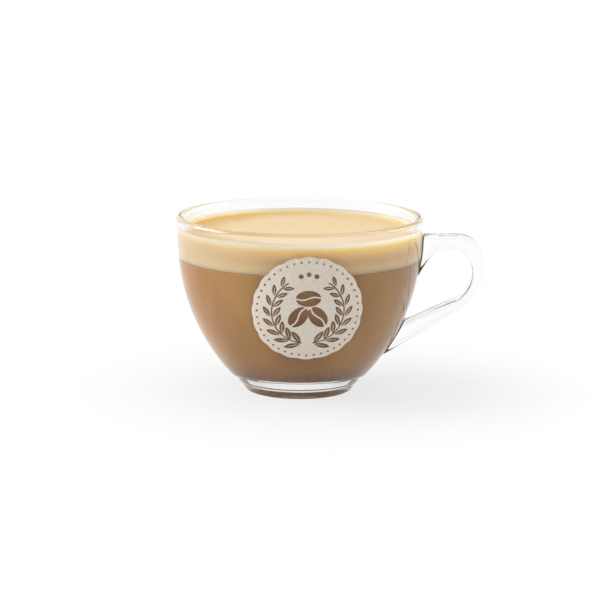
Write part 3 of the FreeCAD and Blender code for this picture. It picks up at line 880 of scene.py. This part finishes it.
@dataclass
class Print:
    """A thin layer of enamel on the front of the bowl, cut out along the motifs' outline."""

    bowl: Bowl
    turned: float = 4.4
    height: float = 0.0405
    lift: float = 0.00002
    thickness: float = 0.00005
    cell: float = 0.00027
    motifs: Motifs = field(default_factory=Motifs)

    def cut(self) -> tuple[Array, Array]:
        """Triangles of a grid, cut where the motifs' field changes its sign.

        A grid edge from f0 to f1 is cut at f0 / (f0 - f1) of its length. A triangle with one corner inside
        leaves a smaller triangle, one with two leaves two triangles.

        Returns:
            Places in the print's plane and corner numbers of the triangles.
        """
        count = int(1.03 * self.motifs.radius * 0.001 / self.cell)
        line = np.arange(-count, count + 1) * self.cell
        x, y = np.meshgrid(line, line)
        value = self.motifs.distance(x * 1000, y * 1000)
        size = len(line)
        number = np.arange(size * size).reshape(size, size)
        plane = np.stack([x, y], 2)

        def crossing(first: tuple, last: tuple) -> Array:
            """Cuts of all grid edges of one kind."""
            gap = value[first] - value[last]
            share = np.where(np.abs(gap) > 1e-12, value[first] / np.where(gap == 0, 1.0, gap), 0.5)
            return plane[first] + np.clip(share, 0.02, 0.98)[..., None] * (plane[last] - plane[first])

        low, high, whole = slice(None, -1), slice(1, None), slice(None)
        kinds = (((whole, low), (whole, high)), ((low, whole), (high, whole)), ((low, low), (high, high)))
        places, edges, start = [plane.reshape(-1, 2)], [], size * size
        for first, last in kinds:
            points = crossing(first, last)
            places.append(points.reshape(-1, 2))
            edges.append(start + np.arange(len(places[-1])).reshape(points.shape[:2]))
            start += len(places[-1])
        level, upright, slanted = edges
        a, b, c, d = number[low, low], number[low, high], number[high, high], number[high, low]
        corners = np.stack([[a, a], [b, c], [c, d]], -1).reshape(-1, 3)
        sides = np.stack([
            [level[low], slanted], [upright[:, high], level[high]], [slanted, upright[:, low]]
        ], -1).reshape(-1, 3)
        inside = (value < 0).ravel()[corners]
        triangles = [corners[inside.all(1)]]
        for k in range(3):
            after, before = (k + 1) % 3, (k + 2) % 3
            one = inside[:, k] & ~inside[:, after] & ~inside[:, before]
            two = ~inside[:, k] & inside[:, after] & inside[:, before]
            triangles.append(np.stack([corners[one, k], sides[one, k], sides[one, before]], 1))
            triangles.append(np.stack([sides[two, k], corners[two, after], corners[two, before]], 1))
            triangles.append(np.stack([sides[two, k], corners[two, before], sides[two, before]], 1))
        return np.concatenate(places), np.concatenate(triangles)

    def build(self) -> Object:
        """Lay the cut sheet on the wall twice, a thickness apart, and close it along its edges."""
        places, triangles = self.cut()
        used, flat_numbers = np.unique(triangles.ravel(), return_inverse=True)
        triangles = flat_numbers.reshape(-1, 3)
        places = places[used]
        climb = float(self.bowl.climb(np.array(self.height))) + places[:, 1]
        around = places[:, 0] / self.bowl.wall_radius(self.bowl.climb_height(climb))
        angle = math.radians(self.turned) - math.pi / 2 + around
        under = self.bowl.on_wall(angle, climb, self.lift)
        over = self.bowl.on_wall(angle, climb, self.lift + self.thickness)
        count = len(places)
        ways = np.concatenate([triangles[:, [0, 1]], triangles[:, [1, 2]], triangles[:, [2, 0]]])
        edge = ~np.isin(ways[:, 0] * count + ways[:, 1], ways[:, 1] * count + ways[:, 0])
        first, last = ways[edge].T
        walls = np.stack([last, first, first + count, last + count], 1)
        faces = np.concatenate([triangles, triangles[:, ::-1] + count])
        return make_piece("print", np.concatenate([over, under]), walls, faces, len(walls))


# ---------------------------------------------------------------- drink


@dataclass
class Filling:
    """The drink and its foam, which reach a little into the wall so that no gap shows."""

    bowl: Bowl
    drink_top: float
    foam_crest: float
    bite: float = 0.00015
    skirt: float = 0.00002
    meniscus_height: float = 0.002
    meniscus_width: float = 0.003
    columns: int = 240
    drink_steps: tuple[int, ...] = (14, 12, 50, 10)
    foam_steps: tuple[int, ...] = (10, 10, 12, 16, 60)

    @classmethod
    def from_frame(cls, bowl: Bowl) -> "Filling":
        """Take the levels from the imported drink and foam."""
        return cls(bowl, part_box("coffee_drink")[1].z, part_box("milk_foam")[1].z)

    @property
    def foam_top(self) -> float:
        """Height of the foam's surface away from the wall."""
        return self.foam_crest - self.meniscus_height

    def drink(self) -> Object:
        """Profile: floor, corner, wall up to the foam, and back to the axis."""
        bowl, inset = self.bowl, self.bowl.wall - self.bite
        turn, top = bowl.cavity_corner(inset), bowl.wall_point(self.drink_top, inset)
        runs = (
            Run(1j * turn.start.imag, turn.start), turn, Run.arc(bowl.curve_centre, turn.end, top),
            Run(top, 1j * self.drink_top),
        )
        return Shell(bowl.axis_x, self.columns, joined(runs, self.drink_steps)).build("coffee")

    def foam(self) -> Object:
        """Profile: underside, wall, the climb at the wall and the flat surface."""
        bowl, inset = self.bowl, self.bowl.wall - self.bite
        base = self.drink_top - self.skirt
        side = bowl.wall_point(base, inset) - self.skirt
        shoulder, crest = bowl.shoulder(inset), bowl.wall_point(self.foam_crest, inset)
        climb = (self.meniscus_width**2 + self.meniscus_height**2) / (2 * self.meniscus_height)
        flat_end = complex(crest.real - self.meniscus_width, self.foam_top)
        runs = (
            Run(1j * base, side), Run.arc(bowl.curve_centre, side, shoulder), Run(shoulder, crest),
            Run.arc(flat_end + 1j * climb, crest, flat_end), Run(flat_end, 1j * self.foam_top),
        )
        return Shell(bowl.axis_x, self.columns, joined(runs, self.foam_steps)).build("foam")


# ---------------------------------------------------------------- finishes


class Tree:
    """A node tree with short calls that add nodes, set their values and join them."""

    def __init__(self, owner: Material | World | NodeTree) -> None:
        """Start with the emptied tree of a material or a world, or with a group."""
        self.owner = self.tree = owner
        if not isinstance(owner, NodeTree):
            owner.use_nodes = True
            self.tree = owner.node_tree
            self.tree.nodes.clear()

    def add(self, kind: str, **values: object) -> Node:
        """Add a node, with a value or a link for each property or socket that is named.

        Args:
            kind: The node's type.
            values: By property, by socket with _ for a space, or by a socket's number, as in i0.

        Returns:
            The node.
        """
        node = self.tree.nodes.new(f"ShaderNode{kind}")
        for key, value in values.items():
            if hasattr(node, key):
                setattr(node, key, value)
                continue
            socket = node.inputs[int(key[1:]) if key[1:].isdigit() else key.replace("_", " ")]
            if isinstance(value, Socket):
                self.tree.links.new(value, socket)
            else:
                socket.default_value = value
        return node

    def math(self, operation: str, *values: Socket | float) -> Socket:
        """Result of a Math node."""
        sockets = {f"i{number}": value for number, value in enumerate(values)}
        return self.add("Math", operation=operation, **sockets).outputs[0]

    def length(self, vector: Socket) -> Socket:
        """Length of a vector."""
        return self.add("VectorMath", operation="LENGTH", i0=vector).outputs["Value"]

    def step(self, value: Socket, low: float, high: float, first: float = 0.0, last: float = 1.0) -> Socket:
        """A value's smooth way from first, where it is low, to last, where it is high."""
        span = {"i1": low, "i2": high, "i3": first, "i4": last}
        return self.add("MapRange", interpolation_type="SMOOTHSTEP", i0=value, **span).outputs[0]

    def mix(self, share: Socket, first: Tone | Socket, last: Tone | Socket) -> Socket:
        """Colour at a share of the way between two, each a socket or a screen colour."""
        ends = [end if isinstance(end, Socket) else srgb(*end) for end in (first, last)]
        return self.add("Mix", data_type="RGBA", i0=share, i6=ends[0], i7=ends[1]).outputs[2]

    def blend(self, share: Socket, first: Node, last: Node) -> Socket:
        """Shader at a share of the way between two."""
        return self.add("MixShader", i0=share, i1=first.outputs[0], i2=last.outputs[0]).outputs[0]

    def seen(self) -> Socket:
        """1 for what the camera, gloss and glass see, and 0 for what only gives light."""
        path = self.add("LightPath").outputs
        direct = self.math("MAXIMUM", path["Is Camera Ray"], path["Is Glossy Ray"])
        return self.math("MAXIMUM", direct, path["Is Transmission Ray"])

    def pattern(
        self, group: NodeTree, place: Socket, scale: float, flatness: float, contrast: float
    ) -> Socket:
        """Value of a pattern group placed in this tree."""
        values = {"Place": place, "Scale": scale, "Flatness": flatness, "Contrast": contrast}
        return self.add("Group", node_tree=group, **values).outputs["Value"]


@dataclass(frozen=True)
class ClearGlass:
    """Polished clear glass with a trace of green over long ways through it."""

    index: float = 1.5
    shade: Place = (0.955, 0.965, 0.96)
    tint: Place = (0.78, 0.84, 0.82)
    density: float = 10.0

    def build(self) -> Material:
        """Bending glass, which lets lamp light and soft light straight through to what is behind it.

        Returns:
            The material.
        """
        tree = Tree(bpy.data.materials.new("clear_glass"))
        glass = tree.add("BsdfPrincipled", Roughness=0.0, IOR=self.index, Transmission_Weight=1.0,
                         Base_Color=WHITE)
        clear = tree.add("BsdfTransparent", Color=(*self.shade, 1.0))
        path = tree.add("LightPath").outputs
        soft = tree.math("MAXIMUM", path["Is Shadow Ray"], path["Is Diffuse Ray"])
        volume = tree.add("VolumeAbsorption", Color=(*self.tint, 1.0), Density=self.density)
        tree.add("OutputMaterial", Surface=tree.blend(soft, glass, clear), Volume=volume.outputs[0])
        return tree.owner


def blotches() -> NodeTree:
    """Group that gives a soft uneven pattern from a place.

    Returns:
        The group: place, scale, flatness and contrast in; a value that wanders about 0.5 out.
    """
    group = bpy.data.node_groups.new("blotches", "ShaderNodeTree")
    group.interface.new_socket("Place", in_out="INPUT", socket_type="NodeSocketVector")
    for name in ("Scale", "Flatness", "Contrast"):
        group.interface.new_socket(name, in_out="INPUT", socket_type="NodeSocketFloat").default_value = 1.0
    group.interface.new_socket("Value", in_out="OUTPUT", socket_type="NodeSocketFloat")
    tree = Tree(group)
    start, end = group.nodes.new("NodeGroupInput").outputs, group.nodes.new("NodeGroupOutput").inputs
    stretch = tree.add("CombineXYZ", i0=1.0, i1=1.0, i2=start["Flatness"]).outputs[0]
    scaled = tree.add("VectorMath", operation="MULTIPLY", i0=start["Place"], i1=stretch).outputs[0]
    noise = tree.add("TexNoise", Vector=scaled, Scale=start["Scale"], Detail=4.0, Roughness=0.55)
    centred = tree.math("SUBTRACT", noise.outputs["Fac"], 0.5)
    spread = tree.math("MULTIPLY_ADD", centred, start["Contrast"], 0.5)
    spread.node.use_clamp = True
    group.links.new(spread, end[0])
    return group


@dataclass(frozen=True)
class Coffee:
    """Milky brown drink, with painted shade low on its wall, broken up by a grain."""

    body: Tone = (184, 138, 80)
    deep: Tone = (138, 88, 38)
    # Painted shade: the darker colour laid on the low part of the wall.
    painted_low_shade: Tone = (112, 74, 44)
    mirror: float = 0.893
    cloud_scale: float = 45.0
    grain_scale: float = 700.0
    # Heights over which the painted shade comes in, none above and full below.
    painted_shade_band: Fade = (0.017, 0.010)
    # Heights below which the painted shade is kept off the drink's floor.
    underside: Fade = (0.0091, 0.0097)

    def build(self, pattern: NodeTree) -> Material:
        """Soft opaque liquid that turns into a mirror where it is seen at a low slant through the glass.

        Args:
            pattern: The group with the uneven pattern.

        Returns:
            The material. Its mirror follows the step from glass down to drink.
        """
        tree = Tree(bpy.data.materials.new("milky_coffee"))
        place = tree.add("TexCoord").outputs["Object"]
        height = tree.add("SeparateXYZ", i0=place).outputs["Z"]
        broad = tree.pattern(pattern, place, self.cloud_scale, 0.35, 1.6)
        fine = tree.pattern(pattern, place, self.grain_scale, 1.0, 2.4)
        side = tree.add("MapRange", i0=height, i1=self.underside[0], i2=self.underside[1]).outputs[0]
        grain = tree.add("MapRange", i0=fine, i1=0.30, i2=0.80, i3=0.35, i4=0.80).outputs[0]
        # Painted shade on the low part of the wall, broken up by the grain and kept off the floor.
        shaded_grain = tree.math("MULTIPLY", tree.step(height, *self.painted_shade_band), grain)
        painted_shade_band = tree.math("MULTIPLY", shaded_grain, side)
        colour = tree.mix(painted_shade_band, tree.mix(broad, self.deep, self.body), self.painted_low_shade)
        drink = tree.add("BsdfPrincipled", Roughness=0.55, Base_Color=colour, Specular_IOR_Level=0.0)
        slant = tree.add("Fresnel", IOR=self.mirror).outputs[0]
        shine = tree.add("BsdfGlossy", Roughness=0.02, Color=WHITE)
        tree.add("OutputMaterial", Surface=tree.blend(slant, drink, shine))
        return tree.owner


@dataclass(frozen=True)
class MilkFoam:
    """Fine cream foam with a pale edge up the glass, a golden ring inside it and a tan side, with painted
    shade on the side towards the lamp and painted light near the foot of the side.

    Heights are told down from its crest on the glass.
    """

    crest_height: float
    inside: float
    axis_x: float
    middle: Tone = (226, 197, 150)
    fresh: Tone = (232, 205, 168)
    ring: Tone = (214, 173, 108)
    crest: Tone = (222, 202, 168)
    film: Tone = (222, 198, 160)
    side: Tone = (212, 182, 138)
    # Painted shade for the side that faces the left lamp.
    painted_shade: Tone = (190, 168, 136)
    # Painted light near the foot of the side, against the shade where foam meets drink.
    base: Tone = (236, 198, 148)
    # Golden band under the pale film, weaker towards the left side.
    golden_band: Tone = (236, 200, 134)
    gold: Fade = (0.0075, 0.0025)
    film_fade: Fade = (0.0042, -0.0006)
    crest_fade: Fade = (0.0014, 0.0003)
    # Depths below the crest over which the painted light comes in.
    painted_light_fade: Fade = (0.0070, 0.0118)
    top_fade: Fade = (0.0019, 0.0002)
    thin_fade: Fade = (0.0022, 0.0003, 1.0, 0.55)
    gold_side: Fade = (-0.030, 0.004, 0.15)
    # Distances from the axis over which the painted shade comes in, towards the left lamp.
    painted_shade_side: Fade = (-0.018, -0.044, 0.0, 0.75)
    ring_side: Fade = (0.030, -0.040, 0.30)
    fresh_side: Fade = (0.010, -0.040)
    ring_width: float = 0.012
    wander: float = 0.0016
    bubble: float = 0.00012
    bubble_scale: float = 900.0
    light_reach: float = 0.010

    def below(self, tree: Tree, height: Socket, far: float, near: float, *ends: float) -> Socket:
        """Smooth step between two depths below the crest, from the first of two values to the last."""
        return tree.step(height, self.crest_height - far, self.crest_height - near, *ends)

    def against_glass(self, tree: Tree, aside: Socket, height: Socket, patchy: Socket) -> Socket:
        """Colour of the side: tan, golden under the pale film, with painted light near its foot and painted
        shade where most light falls.

        Args:
            tree: The foam's tree.
            aside: Distance to the side from the axis, towards the handle.
            height: Height.
            patchy: The uneven pattern's value.

        Returns:
            The colour.
        """
        wander = tree.math("MULTIPLY_ADD", patchy, self.wander, height)
        facing = tree.step(aside, *self.gold_side)
        golden = tree.math("MULTIPLY", self.below(tree, wander, *self.gold), facing)
        colour = tree.mix(golden, self.side, self.golden_band)
        colour = tree.mix(self.below(tree, wander, *self.film_fade), colour, self.film)
        colour = tree.mix(self.below(tree, height, *self.crest_fade), colour, self.crest)
        # Painted light near the foot of the side, against the shade where foam meets drink.
        colour = tree.mix(self.below(tree, height, *self.painted_light_fade), colour, self.base)
        # Painted shade on the side towards the left lamp.
        return tree.mix(tree.step(aside, *self.painted_shade_side), colour, self.painted_shade)

    def build(self, pattern: NodeTree) -> Material:
        """Soft cream foam that light spreads in, less so at its thin crest.

        Args:
            pattern: The group with the uneven pattern.

        Returns:
            The material, coloured by height and by distance from the axis.
        """
        tree = Tree(bpy.data.materials.new("milk_foam"))
        place = tree.add("TexCoord").outputs["Object"]
        split = tree.add("SeparateXYZ", i0=place).outputs
        height, aside = split["Z"], tree.math("SUBTRACT", split["X"], self.axis_x)
        distance = tree.length(tree.add("CombineXYZ", i0=aside, i1=split["Y"]).outputs[0])
        soft = tree.pattern(pattern, place, 60.0, 1.0, 1.8)
        patchy = tree.pattern(pattern, place, 150.0, 1.6, 2.2)
        spread = tree.math("MULTIPLY_ADD", soft, self.ring_width, distance)
        ringed = tree.step(spread, self.inside - self.ring_width, self.inside + 0.001)
        strength = tree.math("MULTIPLY", ringed, tree.step(aside, *self.ring_side))
        cream = tree.mix(tree.step(split["Y"], *self.fresh_side), self.middle, self.fresh)
        edge = self.below(tree, height, *self.top_fade)
        top = tree.mix(edge, tree.mix(strength, cream, self.ring), self.crest)
        inner = tree.math("LESS_THAN", distance, self.inside - 0.0006)
        colour = tree.mix(inner, self.against_glass(tree, aside, height, patchy), top)
        bubbles = tree.add("TexVoronoi", feature="SMOOTH_F1", Vector=place, Scale=self.bubble_scale)
        swell = tree.math("MULTIPLY_ADD", patchy, 0.8, bubbles.outputs["Distance"])
        bump = tree.add("Bump", Strength=0.35, Distance=self.bubble, Height=swell).outputs[0]
        foam = tree.add(
            "BsdfPrincipled", Roughness=0.5, Base_Color=colour, Normal=bump, Specular_IOR_Level=0.12,
            Subsurface_Radius=(1.0, 0.85, 0.65), Subsurface_Scale=self.light_reach,
            Subsurface_Weight=self.below(tree, height, *self.thin_fade),
        )
        tree.add("OutputMaterial", Surface=foam.outputs[0])
        return tree.owner


@dataclass(frozen=True)
class Enamel:
    """Off-white enamel, fired on, with a slight unevenness."""

    thick: Tone = (240, 231, 217)
    thin: Tone = (226, 214, 197)
    scale: float = 900.0

    def build(self, pattern: NodeTree) -> Material:
        """Smooth off-white print.

        Args:
            pattern: The group with the uneven pattern.

        Returns:
            The material.
        """
        tree = Tree(bpy.data.materials.new("print_enamel"))
        place = tree.add("TexCoord").outputs["Object"]
        uneven = tree.pattern(pattern, place, self.scale, 1.0, 2.0)
        bump = tree.add("Bump", Strength=0.2, Distance=0.00003, Height=uneven).outputs[0]
        colour = tree.mix(uneven, self.thin, self.thick)
        enamel = tree.add("BsdfPrincipled", Roughness=0.38, Base_Color=colour, Normal=bump,
                          Specular_IOR_Level=0.4)
        tree.add("OutputMaterial", Surface=enamel.outputs[0])
        return tree.owner


@dataclass(frozen=True)
class PaleFloor:
    """White table that keeps the object's shadow near it and fades to plain white further out."""

    white: float = 0.72
    veil: float = 0.74
    near: float = 0.045
    far: float = 0.115

    def build(self) -> Material:
        """Dull white, veiled with plain white to the camera and to glass, and fully white far out.

        Returns:
            The material.
        """
        tree = Tree(bpy.data.materials.new("pale_floor"))
        paint = (self.white, self.white, self.white, 1.0)
        dull = tree.add("BsdfPrincipled", Roughness=0.8, Base_Color=paint, Specular_IOR_Level=0.0)
        plain = tree.add("Emission", Color=WHITE, Strength=1.0)
        distance = tree.length(tree.add("TexCoord").outputs["Object"])
        share = tree.math("MULTIPLY", tree.seen(), tree.step(distance, self.near, self.far, self.veil))
        tree.add("OutputMaterial", Surface=tree.blend(share, dull, plain))
        return tree.owner


# ---------------------------------------------------------------- stage


@dataclass
class Stage:
    """Floor, surroundings, lamps and camera."""

    bowl: Bowl
    floor_size: float = 8.0
    camera_distance: float = 0.85
    camera_height: float = 0.2026
    camera_side: float = 0.00033
    lens: float = 128.1
    pitch: float = 0.1933
    roll: float = 0.42
    surroundings: float = 0.62
    dim: float = 0.15
    bright_side: Place = (-0.35, 0.94, 0.0)
    bright_fade: Fade = (-0.7, 0.3)
    lamps: tuple[tuple[str, Place, float, float], ...] = (
        ("left_lamp", (-1.6, 0.15, 0.70), 1.2, 1.05),
        ("right_lamp", (1.6, 0.1, 0.6), 1.2, 0.17),
        ("top_lamp", (-0.2, 0.4, 1.8), 1.5, 0.15),
    )

    def floor(self) -> None:
        """A wide pale floor under the cup."""
        size = self.floor_size
        mesh = bpy.data.meshes.new("floor")
        corners = [(x, y, 0.0) for x, y in ((-size, -size), (size, -size), (size, size), (-size, size))]
        mesh.from_pydata(corners, [], [(0, 1, 2, 3)])
        floor = bpy.data.objects.new("floor", mesh)
        bpy.context.scene.collection.objects.link(floor)
        mesh.materials.append(PaleFloor().build())

    def world(self) -> None:
        """White surroundings: plain white to the camera, to gloss and through glass, softer as light.

        Behind the camera they are dimmer, so that the glass shows its edges.
        """
        world = bpy.data.worlds.new("studio")
        tree = Tree(world)
        light = tree.add("Background", Strength=self.surroundings, Color=WHITE)
        way = tree.add("TexCoord").outputs["Generated"]
        ahead = tree.add("VectorMath", operation="DOT_PRODUCT", i0=way, i1=self.bright_side)
        glow = tree.step(ahead.outputs["Value"], *self.bright_fade, self.dim)
        white = tree.add("Background", Strength=1.0, Color=glow)
        tree.add("OutputWorld", Surface=tree.blend(tree.seen(), light, white))
        bpy.context.scene.world = world

    def lamp(self, name: str, place: Place, size: float, level: float) -> None:
        """A square lamp that looks at the cup.

        Args:
            name: Its name.
            place: Where it stands.
            size: Length of its side.
            level: How much white it adds to what faces it.
        """
        light = bpy.data.lights.new(name, "AREA")
        light.size = size
        target = Vector((self.bowl.axis_x, 0.0, self.bowl.rim_height / 2))
        way = target - Vector(place)
        light.energy = level * math.pi**2 * way.length_squared
        lamp = bpy.data.objects.new(name, light)
        lamp.location = place
        lamp.rotation_euler = way.to_track_quat("-Z", "Y").to_euler()
        bpy.context.scene.collection.objects.link(lamp)

    def camera(self) -> None:
        """A long lens a little above the rim, looking across the handle's side."""
        data = bpy.data.cameras.new("camera")
        data.lens = self.lens
        data.sensor_width = 36.0
        camera = bpy.data.objects.new("camera", data)
        place = (self.bowl.axis_x + self.camera_side, -self.camera_distance, self.camera_height)
        tilt = Matrix.Rotation(math.pi / 2 - self.pitch, 4, "X")
        roll = Matrix.Rotation(math.radians(self.roll), 4, "Z")
        camera.matrix_world = Matrix.Translation(place) @ tilt @ roll
        bpy.context.scene.collection.objects.link(camera)
        bpy.context.scene.camera = camera

    def build(self) -> None:
        """Set everything around the cup."""
        self.floor()
        self.world()
        for lamp in self.lamps:
            self.lamp(*lamp)
        self.camera()
        scene = bpy.context.scene
        scene.view_settings.view_transform = "Standard"
        scene.cycles.caustics_reflective = False
        scene.cycles.caustics_refractive = False


def main() -> None:
    """Build the cup, what fills it and the stage."""
    logging.basicConfig(level=logging.INFO, format="%(message)s")
    bowl = Bowl.from_frame()
    glass = GlassCup(bowl).build()
    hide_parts("glass_cup")
    glass.data.materials.append(ClearGlass().build())
    filling = Filling.from_frame(bowl)
    coffee = filling.drink()
    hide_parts("coffee_drink")
    pattern = blotches()
    coffee.data.materials.append(Coffee().build(pattern))
    foam = filling.foam()
    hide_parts("milk_foam")
    inside = bowl.wall_point(filling.foam_crest, bowl.wall).real
    foam.data.materials.append(MilkFoam(filling.foam_crest, inside, bowl.axis_x).build(pattern))
    label = Print(bowl).build()
    label.data.materials.append(Enamel().build(pattern))
    for piece in (glass, coffee, foam, label):
        LOG.info("%s: %d faces", piece.name, len(piece.data.polygons))
    Stage(bowl).build()


if __name__ == "__main__":
    main()
